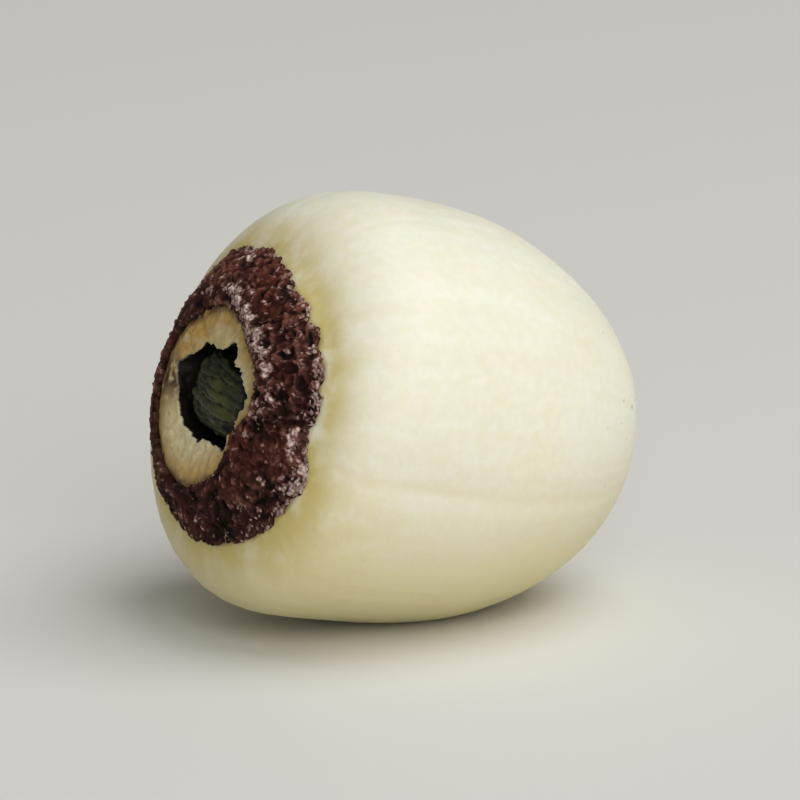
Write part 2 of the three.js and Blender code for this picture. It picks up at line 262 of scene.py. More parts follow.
def outside_rows(azimuth):
    """Radius and height from the round end to the crest round the mouth."""
    bluntness = mouth_bluntness(azimuth)
    crest = np.arcsin((COLLAR_RADIUS / SEED_RADIUS) ** (bluntness / 2))
    angle = lerp(np.pi, crest, shares(SIDE_ROWS))
    near_mouth = angle < np.pi / 2
    power = 2 / np.where(near_mouth, bluntness, END_BLUNTNESS)
    radius = SEED_RADIUS * np.sin(angle) ** power
    end = -END_LENGTH * np.abs(np.cos(angle)) ** power
    return radius, np.where(near_mouth, end_height(radius, azimuth), end)


def inside_rows(azimuth):
    """Radius and height from the crest over the lip and down to the floor of the hollow."""
    lip = lip_radius(azimuth)
    collar = lerp(COLLAR_RADIUS, lip, shares(COLLAR_ROWS))
    widening = oval(azimuth, HOLLOW_HALF_LONG, HOLLOW_HALF_SHORT)
    drop = shares(THROAT_ROWS)
    throat = lerp(lip, widening, np.sin(drop * np.pi / 2) ** 2)
    throat_height = lerp(end_height(lip, azimuth), THROAT_FOOT, drop)
    depth = shares(HOLLOW_ROWS)[:-1]
    hollow_height = lerp(THROAT_FOOT, HOLLOW_FLOOR, depth) + 0 * azimuth
    radius = np.vstack([collar, throat, widening * rounded(depth)])
    return radius, np.vstack([end_height(collar, azimuth), throat_height, hollow_height])


kernel_azimuth = columns_round(KERNEL_COLUMNS)
kernel_radius, kernel_height = (
    np.vstack(rows) for rows in zip(outside_rows(kernel_azimuth), inside_rows(kernel_azimuth))
)
kernel_smooth = seed_point(kernel_radius, kernel_azimuth, kernel_height)
print("kernel rows and columns:", kernel_radius.shape)

# %% [markdown]
# ## Relief of the kernel
# Dried flesh is smooth but not polished. It has shallow dents, faint streaks along the seed, a
# fine line where the two seed leaves meet, and a coarse, torn face round the mouth. A bump map
# could draw all that, but a mesh export would lose it, so the relief moves the points along their
# normals. Blender's noise module gives each kind, stretched along the seed for the streaks.

# %% Noise over many points
from mathutils import Color, Vector, noise

NOISE_SHIFT, NOISE_DIMENSION, NOISE_LACUNARITY = 17.3, 1.0, 2.0
TINY = 1e-9


def space(*axes):
    """Places with three axes, each of which may run along the rows, the columns or both."""
    return np.stack(np.broadcast_arrays(*axes), axis=-1)


def noise_at(points, size, seed, octaves=2):
    """Soft noise of about -1 to 1 with patches of the given size, for each point of an array."""
    flat = np.reshape(points, (-1, 3)) / size + NOISE_SHIFT * seed
    values = [noise.fractal(Vector(p), NOISE_DIMENSION, NOISE_LACUNARITY, octaves) for p in flat]
    return np.reshape(values, points.shape[:-1])


def grid_normals(points):
    """Outward normals of rows of points that close round the axis."""
    along_row = np.roll(points, -1, axis=1) - np.roll(points, 1, axis=1)
    normals = np.cross(along_row, np.gradient(points, axis=0))
    return normals / np.maximum(np.linalg.norm(normals, axis=-1, keepdims=True), TINY)


first_row = noise_at(kernel_smooth[:1], 1.0, 1)
print(f"noise on one row: {first_row.min():.2f} to {first_row.max():.2f}")

# %% Parts of the kernel's skin
LIP_ROW = SIDE_ROWS + COLLAR_ROWS

row_number = np.arange(len(kernel_radius))[:, None] + 0 * kernel_azimuth
on_outside = 1 - smoothstep(row_number, SIDE_ROWS - 6, SIDE_ROWS + 4)
in_hollow = smoothstep(row_number, LIP_ROW - 1, LIP_ROW + 1)
on_collar = (1 - on_outside) * (1 - in_hollow)
for part, mask in (("outside", on_outside), ("collar", on_collar), ("hollow", in_hollow)):
    print(part, "has about", round(mask[:, 0].sum()), "rows")

# %% Push the relief into the kernel
DENT_SIZE, DENT_DEPTH = 4.5, 0.05
DIMPLE_SIZE, DIMPLE_DEPTH = 0.4, 0.008
STREAKS_ROUND, STREAK_LENGTH, STREAK_DEPTH = 14, 6, 0.011
COARSE_SIZE, COLLAR_ROUGHNESS, HOLLOW_ROUGHNESS = 0.35, 0.07, 0.06
SEAM_LINE_HALF_WIDTH, SEAM_LINE_DEPTH = 1.6, 0.006
SEAM_LINE_STRETCH, SEAM_LINE_WANDER = 3, (12, 900, np.radians(0.6))

streak_space = space(
    STREAKS_ROUND * np.sin(kernel_azimuth),
    STREAKS_ROUND * np.cos(kernel_azimuth),
    kernel_height / STREAK_LENGTH,
)
streaks = noise_at(streak_space, 1.0, 3, octaves=3) * smoothstep(kernel_radius, 0.8, 5.0)
dents = noise_at(kernel_smooth, DENT_SIZE, 1)
dimples = noise_at(kernel_smooth, DIMPLE_SIZE, 2)
coarse = noise_at(kernel_smooth, COARSE_SIZE, 4, octaves=4)
seam_wander = uneven(kernel_height / SEAM_LINE_STRETCH + np.pi, *SEAM_LINE_WANDER)
seam_line = seams(kernel_azimuth + seam_wander, SEAM_LINE_HALF_WIDTH)
seam_line = seam_line * smoothstep(kernel_radius, 3.5, 5.5)
relief = on_outside * (DENT_DEPTH * dents + STREAK_DEPTH * streaks + DIMPLE_DEPTH * dimples)
relief = relief - on_outside * SEAM_LINE_DEPTH * seam_line
relief = relief + coarse * (COLLAR_ROUGHNESS * on_collar + HOLLOW_ROUGHNESS * in_hollow)
kernel_points = kernel_smooth + grid_normals(kernel_smooth) * relief[..., None]
print(f"kernel relief from {relief.min():.3f} to {relief.max():.3f} mm")

# %% [markdown]
# ## Laying the seed down
# The seed rests on its side, its mouth raised a little, on a small flat spot. The pieces are
# turned here in one place, so that they can't come apart. How far to shift them is read from the
# kernel's node: the smooth form's round end, top and middle have to meet those of the node's box.

# %% Lay down and place
REST_TILT = np.radians(12.5)


def laid_down(points):
    across, along, up = points[..., 0], points[..., 1], points[..., 2]
    length = -along * np.cos(REST_TILT) + up * np.sin(REST_TILT)
    height = along * np.sin(REST_TILT) + up * np.cos(REST_TILT)
    return np.stack([length, across, height], axis=-1)


smooth_laid = laid_down(kernel_smooth)
low, high = (np.array(corner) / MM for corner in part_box("kernel"))
smooth_low, smooth_high = smooth_laid.min(axis=(0, 1)), smooth_laid.max(axis=(0, 1))
PLACE = np.array([
    high[0] - smooth_high[0],
    (low[1] + high[1] - smooth_low[1] - smooth_high[1]) / 2,
    high[2] - smooth_high[2],
])


def in_place(points):
    """Points of an upright piece, laid down in its place in metres, none below the floor."""
    placed = laid_down(points) + PLACE
    placed[..., 2] = np.maximum(placed[..., 2], 0)
    return placed * MM


print("shift in mm:", np.round(PLACE, 3))

# %% [markdown]
# ## From rows to a mesh
# Neighbouring rows are joined by four-sided faces that close round the axis, and a fan of
# triangles closes each pole. Masks that say where a finish applies, such as the inside of the
# hollow, ride on the points as attributes, which a material can read by name and an export can
# keep.

# %% Mesh makers
import bpy


def band_faces(rows, columns, closed=False):
    """Four-sided faces between rows; the last row joins the first where the band is closed."""
    row = np.arange(rows if closed else rows - 1)[:, None]
    column = np.arange(columns)[None, :]
    here, after = row * columns, (row + 1) % rows * columns
    beside = (column + 1) % columns
    corners = [here + column, here + beside, after + beside, after + column]
    return np.stack(corners, axis=-1).reshape(-1, 4).tolist()


def new_piece(name, points, faces, masks):
    """A smooth-shaded mesh object in metres, with its masks as point attributes."""
    mesh = bpy.data.meshes.new(name)
    mesh.from_pydata(points.reshape(-1, 3).tolist(), [], faces)
    mesh.validate()
    mesh.shade_smooth()
    for mask, values in masks.items():
        attribute = mesh.attributes.new(mask, "FLOAT", "POINT")
        attribute.data.foreach_set("value", np.ravel(values).astype(np.float32))
    piece = bpy.data.objects.new(name, mesh)
    bpy.context.scene.collection.objects.link(piece)
    mesh.calc_loop_triangles()
    print(name, len(mesh.loop_triangles), "triangles")
    return piece


print("three rows of five points make", len(band_faces(3, 5)), "faces")

# %% Masks of the kernel
FRINGE_REACH, FRINGE_EXTRA, FRINGE_WIDE_SIDE = 0.8, 0.7, (228, 26)
STAIN_REACH, STAIN_EXTRA, STAIN_WIDE_SIDE = 1.0, 0.5, (190, 40)
# The far and upper sides of the collar get painted shade, laid into the stain mask.
FAR_SIDE, FAR_SIDE_SHADE = (70, 40), 0.7
UPPER_SIDE, UPPER_SIDE_SHADE = (10, 45), 0.4
# The hill on the far side of the mouth is painted shade, laid into the dark band beside the coat's
# inner edge.
DARK_BAND_REACH, PAINTED_SHADE_SIDE = 0.35, (91, 15)

inner_edge = coat_inner(kernel_azimuth)
beyond_coat = kernel_radius - coat_reach(kernel_azimuth)
near_mouth_end = smoothstep(kernel_height, 1.0, 3.0) * on_outside
fringe_reach = FRINGE_REACH + FRINGE_EXTRA * hill(kernel_azimuth, *FRINGE_WIDE_SIDE)
fringe = near_mouth_end * np.exp(-((np.maximum(beyond_coat, 0) / fringe_reach) ** 2))
in_coat = smoothstep(kernel_height, 3.0, 4.0) * (1 - in_hollow) * smoothstep(-beyond_coat, 0, 0.3)
stain_reach = STAIN_REACH + STAIN_EXTRA * hill(kernel_azimuth, *STAIN_WIDE_SIDE)
stain_and_shade = smoothstep(kernel_radius, inner_edge - stain_reach, inner_edge - 0.1)
# painted shade on the far and upper sides of the collar, on top of the real stain beside the coat
stain_and_shade = stain_and_shade + FAR_SIDE_SHADE * hill(kernel_azimuth, *FAR_SIDE)
stain_and_shade = stain_and_shade + UPPER_SIDE_SHADE * hill(kernel_azimuth, *UPPER_SIDE)
dark_band_and_shade = smoothstep(kernel_radius, inner_edge - DARK_BAND_REACH, inner_edge)
# painted shade: a dark strip on the far side of the mouth
dark_band_and_shade = np.maximum(dark_band_and_shade, hill(kernel_azimuth, *PAINTED_SHADE_SIDE))
above_floor = in_place(kernel_points)[..., 2] / MM
kernel_masks = {  # each with its values at the poles of the round end and of the hollow
    "inside": (in_hollow, 0, 1),
    "fringe": (fringe, 0, 0),
    "stain_and_shade": (np.clip(stain_and_shade, 0, 1) * in_coat, 0, 0),
    "dark_band_and_shade": (dark_band_and_shade * in_coat, 0, 0),
    "collar": (on_collar, 0, 0),
    "streaks": (on_outside * np.clip(0.5 + streaks, 0, 1), 0.5, 0),
    # painted shade: the kernel is painted yellower and darker towards the floor
    "underside": (1 - smoothstep(above_floor, 0.5, 6.0), 0, 0),
    "seam": (on_outside * seam_line, 0, 0),
    "round_end": (smoothstep(-kernel_height, 4.0, 8.5), 1, 0),
}
for name, (mask, *_) in kernel_masks.items():
    print(f"{name} covers {100 * mask.mean():.1f}% of the points")

# %% Mesh of the kernel
poles = seed_point(np.zeros(2), np.zeros(2), np.array([-END_LENGTH, HOLLOW_FLOOR]))
kernel_rows = len(kernel_points)
end_pole = kernel_rows * KERNEL_COLUMNS
last_row, floor_pole = end_pole - KERNEL_COLUMNS, end_pole + 1
beside = [*range(1, KERNEL_COLUMNS), 0]
fans = [[end_pole, after, here] for here, after in enumerate(beside)]
fans += [[last_row + here, last_row + after, floor_pole] for here, after in enumerate(beside)]
kernel = new_piece(
    "kernel_flesh",
    in_place(np.vstack([kernel_points.reshape(-1, 3), poles])),
    band_faces(kernel_rows, KERNEL_COLUMNS) + fans,
    {name: np.append(mask, at_poles) for name, (mask, *at_poles) in kernel_masks.items()},
)
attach(kernel, "root")
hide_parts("kernel")

# %% [markdown]
# ## The ring of seed coat
# What is left of the coat is a thin crust of fine grains with dark pits between them, worn thin at
# the outer edge. One low ridge runs along the upper inner edge. In places the grains are pale:
# partly a rubbed scurf, and partly painted glints on the ridge and along the edges. Scattering
# loose grains would take millions of faces and never close up, so the crust is a closed skin.
# Cells of Voronoi noise sink the pits and raise the grains, after a soft noise has bent them out
# of their regular pattern.

# %% Pits and grains of the coat
COAT_GAP, SLOPE_STEP = 0.05, 0.01
PIT_SPACING, GRAIN_SIZE, CRUMB_SIZE, LUMP_SIZE = 0.38, 0.22, 0.13, 0.8
LUMP_PART, GRAIN_PART, CRUMB_PART = 0.28, 0.34, 0.22
BEND_SIZE, BEND_REACH, BEND_SEEDS, PIT_BEND = 0.4, 0.12, (71, 72, 73), 2.2
CELL_SHIFT, DOME_REACH, OWN_SPREAD = 7.7, 0.8, 31.7
WEATHERED = (295, 55)
LOWEST, HIGHEST = 0.12, 1.2


def coat_place(azimuth, share, lift):
    """A point of the coat, lifted off the kernel's smooth form."""
    radius = lerp(coat_inner(azimuth), coat_outer(azimuth), share)
    rise = end_height(radius + SLOPE_STEP, azimuth) - end_height(radius - SLOPE_STEP, azimuth)
    slope = rise / (2 * SLOPE_STEP)
    unit = lift / np.hypot(1, slope)
    return seed_point(radius - slope * unit, azimuth, end_height(radius, azimuth) + unit)


def grains_at(points, size, seed):
    """Height of rounded grains, 0 between them to 1, and each grain's own draw of 0 to 1."""
    domes, own = [], []
    for place in np.reshape(points, (-1, 3)) / size + CELL_SHIFT * seed:
        near, centres = noise.voronoi(Vector(place))
        domes.append(max(1 - (near[0] / DOME_REACH) ** 2, 0.0))
        own.append(0.5 + 0.5 * noise.cell(centres[0] * OWN_SPREAD))
    shape = points.shape[:-1]
    return np.reshape(domes, shape), np.reshape(own, shape)


def crust_height(azimuth, ground):
    """Height of the crust from its pits to its tops, and the crumbs' own draw."""
    bend = np.stack([noise_at(ground, BEND_SIZE, seed) for seed in BEND_SEEDS], axis=-1)
    bent = ground + BEND_REACH * bend
    pits, pit_own = grains_at(ground + PIT_BEND * (bent - ground), PIT_SPACING, 3)
    grains, grain_own = grains_at(bent, GRAIN_SIZE, 1)
    crumbs, crumb_own = grains_at(bent, CRUMB_SIZE, 2)
    pitted = lerp(0.3, 0.75, hill(azimuth, *WEATHERED)) * lerp(0.3, 1, pit_own)
    height = 0.5 + LUMP_PART * noise_at(ground, LUMP_SIZE, 5, octaves=3)
    height = height - pitted * smoothstep(pits, 0.3, 1)
    height = height + GRAIN_PART * grains * (0.3 + 0.7 * grain_own)
    height = height + CRUMB_PART * crumbs * crumb_own
    return np.clip(height, LOWEST, HIGHEST), crumb_own


ground_row = coat_place(columns_round(60), 0.5, COAT_GAP)
heights = crust_height(columns_round(60), ground_row)[0]
print(f"heights along the middle of the coat: {heights.min():.2f} to {heights.max():.2f}")

# %% Lift and masks of the coat
COAT_THICKNESS, CRUST_SWELL = 0.18, 1.3
OUTER_EDGE_FULLNESS, INNER_EDGE_FULLNESS = 0.35, 0.7
RIDGE, RIDGE_SHARE, RIDGE_BREADTH, RIDGE_HEIGHT = (333, 38), 0.27, 0.1, 0.1
# The low side of the ring is painted shade: the crust's tone is made darker there.
SHADED_LOW_SIDE, LOW_SIDE_SHADE = (190, 50), 0.25
# These zones place pale scurf, partly rubbed coat and partly painted glints on the upper inner
# edge, the outer edge and the notch.
SCURF_AND_GLINT_ZONES = [  # weight, azimuth, half width, and the shares across where it starts and is full
    (0.5, *RIDGE, 0.5, 0.2), (0.5, 310, 50, 0.82, 1.0),
    (0.75, 247, 18, 0.65, 0.95), (0.4, 15, 10, 0.5, 0.8),
]
RED_ZONES = [(1.0, 345, 35, 0.35, 0.7), (1.0, *LOBE, 0.55, 0.2)]
# The ridge's crest is painted pale as glints, and the weathered side gets pale scurf and painted
# glints.
RIDGE_GLINT, WEATHERED_SCURF_AND_GLINT = 0.8, 0.25


def in_zones(azimuth, share, zones):
    return sum(
        weight * hill(azimuth, at, half_width) * smoothstep(share, start, full)
        for weight, at, half_width, start, full in zones
    )


def coat_crust(azimuth, share):
    """Lift of the crust's top, and masks: tone from pits to tops with painted shade, own draw,
    pale scurf with painted glints, and red.
    """
    ground = coat_place(azimuth, share, COAT_GAP)
    height, own = crust_height(azimuth, ground)
    ridge = hill(azimuth, *RIDGE) * np.exp(-(((share - RIDGE_SHARE) / RIDGE_BREADTH) ** 2))
    fullness = lerp(OUTER_EDGE_FULLNESS, 1, smoothstep(1 - share, 0, 0.25))
    fullness = fullness * lerp(INNER_EDGE_FULLNESS, 1, smoothstep(share, 0, 0.06))
    lift = COAT_GAP + COAT_THICKNESS * fullness * CRUST_SWELL * height + RIDGE_HEIGHT * ridge
    # the pale mask is partly rubbed scurf and partly painted glints, paler on the grains' tops
    scurf_and_glint_zone = in_zones(azimuth, share, SCURF_AND_GLINT_ZONES) + RIDGE_GLINT * ridge
    scurf_and_glint_zone = np.clip(scurf_and_glint_zone + WEATHERED_SCURF_AND_GLINT * hill(azimuth, *WEATHERED), 0, 1)
    scurf_and_glint_noise = 0.55 * noise_at(ground, 0.3, 81) + 0.4 * noise_at(ground, 0.09, 82)
    return lift, {
        # painted shade: the tone is darker in the pits and on the low side
        "tone": height - LOW_SIDE_SHADE * hill(azimuth, *SHADED_LOW_SIDE),
        "own": own,
        "scurf_and_glint": smoothstep(scurf_and_glint_noise + 0.55 * scurf_and_glint_zone + 0.3 * height, 0.3, 1.05),
        "red": np.clip(in_zones(azimuth, share, RED_ZONES), 0, 1),
    }


ridge_lift = coat_crust(np.radians([RIDGE[0]]), np.array([RIDGE_SHARE]))[0]
print(f"the ridge stands {ridge_lift[0]:.2f} mm over the kernel")

# %% Mesh of the coat
COAT_COLUMNS, COAT_TOP_ROWS, COAT_UNDER_ROWS, COAT_SUNK = 900, 88, 6, 0.04

coat_azimuth = columns_round(COAT_COLUMNS)
top_share = np.linspace(1, 0, COAT_TOP_ROWS)[:, None] + 0 * coat_azimuth
under_share = np.linspace(0, 1, COAT_UNDER_ROWS)[:, None] + 0 * coat_azimuth
crust_lift, crust_masks = coat_crust(coat_azimuth, top_share)
for name, mask in crust_masks.items():
    print(name, "at its quarters:", np.round(np.quantile(mask, (0, 0.25, 0.5, 0.75, 1)), 2))
coat_top = coat_place(coat_azimuth, top_share, crust_lift)
coat_under = coat_place(coat_azimuth, under_share, -COAT_SUNK)
coat_masks = {name: np.vstack([mask, 0 * under_share]) for name, mask in crust_masks.items()}
coat_masks["edge"] = np.vstack([np.abs(2 * top_share - 1), 0 * under_share + 1])
coat = new_piece(
    "seed_coat_crust",
    in_place(np.vstack([coat_top, coat_under])),
    band_faces(COAT_TOP_ROWS + COAT_UNDER_ROWS, COAT_COLUMNS, closed=True),
    coat_masks,
)
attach(coat, "root")
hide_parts("seed_coat_ring")

# %% [markdown]
# ## Flakes of the coat
# Where the coat broke off, thin pale flakes stand up from it, most along the outer edge, beside
# the notch and on the upper inner edge; their pale colour is partly painted glints. They are too
# thin for the crust's own rows, so each is a small curled plate of its own, drawn from a seeded
# generator and set on the crust, its root a little inside.

# %% Scatter the flakes
FLAKE_KINDS = [  # how many, azimuth and its spread in degrees, share across and its spread
    (46, 0, 180, 0.93, 0.07), (14, 249, 9, 0.9, 0.1),
    (20, 330, 26, 0.12, 0.1), (16, 0, 180, 0.5, 0.3),
]
FIRST_SHARE, LAST_SHARE = 0.02, 0.985
luck = np.random.default_rng(20)

flake_azimuth = np.radians(np.concatenate([
    luck.uniform(at - spread, at + spread, count) for count, at, spread, _, _ in FLAKE_KINDS
]))
flake_share = np.concatenate([
    luck.uniform(at - spread, at + spread, count) for count, _, _, at, spread in FLAKE_KINDS
]).clip(FIRST_SHARE, LAST_SHARE)
print(len(flake_azimuth), "flakes")

# %% Shape of a flake
FLAKE_SIDES, FLAKE_THICKNESS = 9, 0.022
FLAKE_ROWS = ((0.5, 0), (1, 0), (1, 0.6), (0.5, 1))  # reach and rise, from below to above
FLAKE_POINTS = FLAKE_SIDES * len(FLAKE_ROWS)
HALF_LONG, HALF_WIDE, CURL = (0.05, 0.13), (0.04, 0.09), (0.2, 1.0)  # least and most
TILT, EDGE, PALE = (2, 14), (0.7, 1.15), (0.0, 0.55)


def flake_points(half_long, half_wide, curl):
    """Rows of a curled plate with an uneven edge."""
    turn = FULL_TURN * np.arange(FLAKE_SIDES) / FLAKE_SIDES
    edge = luck.uniform(*EDGE, FLAKE_SIDES)
    rows = []
    for reach, rise in FLAKE_ROWS:
        along = reach * edge * half_long * np.cos(turn)
        wide = reach * edge * half_wide * np.sin(turn)
        lift = curl * (along + half_long) ** 2 + rise * FLAKE_THICKNESS
        rows.append(np.stack([along, wide, lift], axis=-1))
    return np.stack(rows)


def flake_faces(start):
    ring = [[start + k for k in face] for face in band_faces(len(FLAKE_ROWS), FLAKE_SIDES)]
    bottom = [start + k for k in reversed(range(FLAKE_SIDES))]
    top = [start + k for k in range(FLAKE_POINTS - FLAKE_SIDES, FLAKE_POINTS)]
    return ring + [bottom, top]


def flake_at(root, outwards, sideways):
    """A flake on the crust, its heading, tilt and size drawn."""
    out, side = outwards / np.linalg.norm(outwards), sideways / np.linalg.norm(sideways)
    normal = np.cross(side, out)
    normal *= np.sign(normal[1])
    heading = luck.uniform(0, FULL_TURN)
    long_way = np.cos(heading) * out + np.sin(heading) * side
    wide_way = np.cross(normal, long_way)
    tilt = np.radians(luck.uniform(*TILT))
    rising = np.cos(tilt) * long_way + np.sin(tilt) * normal
    lifted = np.cross(rising, wide_way)
    plate = flake_points(luck.uniform(*HALF_LONG), luck.uniform(*HALF_WIDE), luck.uniform(*CURL))
    return root + plate[..., :1] * rising + plate[..., 1:2] * wide_way + plate[..., 2:] * lifted


print("a flake has", FLAKE_POINTS, "points and", len(flake_faces(0)), "faces")

# %% Mesh of the flakes
FLAKE_SUNK, SHARE_STEP, TURN_STEP = 0.02, 0.03, 0.02

root_lift = coat_crust(flake_azimuth, flake_share)[0] - FLAKE_SUNK
roots = coat_place(flake_azimuth, flake_share, root_lift)
outwards = coat_place(flake_azimuth, flake_share + SHARE_STEP, root_lift) - roots
sideways = coat_place(flake_azimuth + TURN_STEP, flake_share, root_lift) - roots
plates, paleness, plate_faces = [], [], []
for number, place in enumerate(zip(roots, outwards, sideways)):
    plates.append(flake_at(*place))
    paleness.append(np.full(FLAKE_POINTS, luck.uniform(*PALE)))
    plate_faces += flake_faces(FLAKE_POINTS * number)
flakes = new_piece(
    "seed_coat_flakes", in_place(np.stack(plates)), plate_faces, {"pale": np.stack(paleness)}
)
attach(flakes, "root")

# %% [markdown]
# ## The plumule
# The plumule is the seedling: a long leaf folded back on itself, a short leaf beside it, and a
# stubby root, all dried and wrinkled, with furrows along the fold. Each is a strand along a smooth
# path with an oval section. The strands grow out of each other, so a voxel remesh melts them into
# one closed skin, where a boolean would leave hard lines. It is done in millimetres, because the
# modifier takes no voxel under 0.0001 units. Noise along the normals then cuts the furrows.

# %% Sizes and ways of the plumule
FOLD_TOP = LIP_HEIGHT + 0.15
LEAF_HALF_THICK, LEAF_HALF_WIDE = 0.5, 1.1
FOLD_HALF_WIDTH, FOLD_CORNER_RADIUS, FOLDED_LENGTH = 1.1, 0.55, 3.4
ROOT_FOOT = HOLLOW_FLOOR + 0.4
ROOT_HEAD, ROOT_RADIUS = ROOT_FOOT + 3.0, 0.75
ROOT_MIDDLE = (ROOT_FOOT + ROOT_HEAD) / 2
SHORT_TIP, SHORT_OFFSET, SHORT_HALF_THICK, SHORT_HALF_WIDE = FOLD_TOP - 1.8, 0.8, 0.4, 0.6
HEAD_SPREAD, TIP_SPREAD = 0.7, 0.85

along_seam = np.array([np.sin(SEAM_AZIMUTH), 0, np.cos(SEAM_AZIMUTH)])
upright = np.array([0.0, 1.0, 0.0])
across_seam = np.cross(along_seam, upright)
print(f"the plumule is {FOLD_TOP - ROOT_FOOT:.2f} mm tall")

# %% A smooth path
FINE_STEPS = 600


def run_along(steps):
    """Distances from the start, given the length of each step."""
    return np.concatenate([[0], np.cumsum(steps)])


def smooth_path(points, steps):
    """Evenly spaced points on a smooth curve through all the given ones, and its length."""
    points = np.array(points)
    run = run_along(np.sqrt(np.linalg.norm(np.diff(points, axis=0), axis=1)))
    slopes = np.gradient(points, run, axis=0)
    fine = np.linspace(0, run[-1], FINE_STEPS)
    part = np.clip(np.searchsorted(run, fine, side="right") - 1, 0, len(run) - 2)
    gap = (run[part + 1] - run[part])[:, None]
    t = (fine[:, None] - run[part][:, None]) / gap
    curve = (2 * t**3 - 3 * t**2 + 1) * points[part] + (3 * t**2 - 2 * t**3) * points[part + 1]
    curve += gap * ((t**3 - 2 * t**2 + t) * slopes[part] + (t**3 - t**2) * slopes[part + 1])
    length = run_along(np.linalg.norm(np.diff(curve, axis=0), axis=1))
    even = np.linspace(0, length[-1], steps)
    path = np.stack([np.interp(even, length, curve[:, axis]) for axis in range(3)], axis=-1)
    return path, length[-1]


corner_length = smooth_path([0 * upright, upright, upright + along_seam], 20)[1]
print(f"a path round one corner is {corner_length:.2f} mm long")

# %% A wrinkled strand
TIP_SHARE = 0.25
LINES_ROUND, LINES_ALONG = 2.6, 0.45
PUCKERS_ROUND, PUCKERS_ALONG, PUCKER_PART = 1.2, 3, 0.35


def strand(points, flat_normal, half_thick, half_wide, wrinkle, seed, steps=240, sides=110):
    """Points and faces of a strand along a flat path, oval in section, with rounded ends."""
    path, length = smooth_path(points, steps)
    side = np.cross(np.gradient(path, axis=0), flat_normal)
    side /= np.linalg.norm(side, axis=1, keepdims=True)
    share = np.linspace(0, 1, steps)[:, None]
    turn = columns_round(sides)
    cosine, sine = np.cos(turn), np.sin(turn)
    fullness = lerp(TIP_SHARE, 1, rounded(np.abs(2 * share - 1)))
    lines = space(LINES_ROUND * cosine, LINES_ROUND * sine, LINES_ALONG * length * share)
    puckers = space(PUCKERS_ROUND * cosine, PUCKERS_ROUND * sine, PUCKERS_ALONG * length * share)
    creases = -np.abs(noise_at(lines, 1.0, seed, octaves=3))
    creases = creases + PUCKER_PART * noise_at(puckers, 1.0, seed + 1)
    thick = (half_thick * fullness + wrinkle * creases) * sine
    wide = (half_wide * fullness + wrinkle * creases) * cosine
    skin = path[:, None] + thick[..., None] * side[:, None] + wide[..., None] * flat_normal
    ends = [list(range(sides))[::-1], [(steps - 1) * sides + k for k in range(sides)]]
    return skin.reshape(-1, 3), band_faces(steps, sides) + ends


root_path = [ROOT_FOOT * upright, ROOT_MIDDLE * upright, ROOT_HEAD * upright]
root = strand(root_path, across_seam, ROOT_RADIUS, ROOT_RADIUS, 0.1, 51)
print("the root has", len(root[1]), "faces")

# %% The two leaves
corner_height = FOLD_TOP - LEAF_HALF_THICK - FOLD_CORNER_RADIUS
bend = np.linspace(0, np.pi, 8)
corner_middle = np.sign(-np.cos(bend)) * (FOLD_HALF_WIDTH - FOLD_CORNER_RADIUS)
corner_place = corner_middle - FOLD_CORNER_RADIUS * np.cos(bend)
fold = [
    place * along_seam + (corner_height + FOLD_CORNER_RADIUS * rise) * upright
    for place, rise in zip(corner_place, np.sin(bend))
]
long_path = [
    ROOT_MIDDLE * upright,
    -HEAD_SPREAD * FOLD_HALF_WIDTH * along_seam + ROOT_HEAD * upright,
    -FOLD_HALF_WIDTH * along_seam + (ROOT_HEAD + corner_height) / 2 * upright,
    *fold,
    FOLD_HALF_WIDTH * along_seam + (corner_height - FOLDED_LENGTH / 2) * upright,
    TIP_SPREAD * FOLD_HALF_WIDTH * along_seam + (corner_height - FOLDED_LENGTH) * upright,
]
short_path = [
    ROOT_MIDDLE * upright,
    HEAD_SPREAD * SHORT_OFFSET * across_seam + ROOT_HEAD * upright,
    SHORT_OFFSET * across_seam + (ROOT_HEAD + SHORT_TIP) / 2 * upright,
    TIP_SPREAD * SHORT_OFFSET * across_seam + SHORT_TIP * upright,
]
long_size, short_size = (LEAF_HALF_THICK, LEAF_HALF_WIDE), (SHORT_HALF_THICK, SHORT_HALF_WIDE)
long_leaf = strand(long_path, across_seam, *long_size, 0.16, 31, steps=360, sides=140)
short_leaf = strand(short_path, along_seam, *short_size, 0.1, 41)
strands = [long_leaf, short_leaf, root]
print("points in the strands:", [len(points) for points, _ in strands])

# %% Melt the strands into one skin
VOXEL = 0.04

mouth_shift = MOUTH_OFFSET * np.array([np.sin(OFFSET_AZIMUTH), 0, np.cos(OFFSET_AZIMUTH)])
strand_points = np.vstack([points for points, _ in strands]) + mouth_shift
strand_faces, start = [], 0
for points, faces in strands:
    strand_faces += [[start + k for k in face] for face in faces]
    start += len(points)
sketch = bpy.data.meshes.new("plumule_strands")
sketch.from_pydata(strand_points.tolist(), [], strand_faces)
sketch_object = bpy.data.objects.new("plumule_strands", sketch)
bpy.context.scene.collection.objects.link(sketch_object)
remesh = sketch_object.modifiers.new("melt", "REMESH")
remesh.mode = "VOXEL"
remesh.voxel_size = VOXEL
evaluated = sketch_object.evaluated_get(bpy.context.evaluated_depsgraph_get())
melted = bpy.data.meshes.new_from_object(evaluated)
skin = np.array([vertex.co for vertex in melted.vertices])
skin_normals = np.array([vertex.normal for vertex in melted.vertices])
skin_faces = [list(polygon.vertices) for polygon in melted.polygons]
bpy.data.objects.remove(sketch_object)
bpy.data.meshes.remove(sketch)
bpy.data.meshes.remove(melted)
print("the melted skin has", len(skin), "points")

# %% Furrows of the plumule
FURROWS_ALONG, FURROWS_ACROSS, FURROW_DEPTH, FURROW_TOP = 0.5, 4.5, 0.13, 0.6
LUMPS_APART, LUMP_HEIGHT = 0.8, 0.06
PITS_APART, PIT_DEPTH = 0.22, 0.018

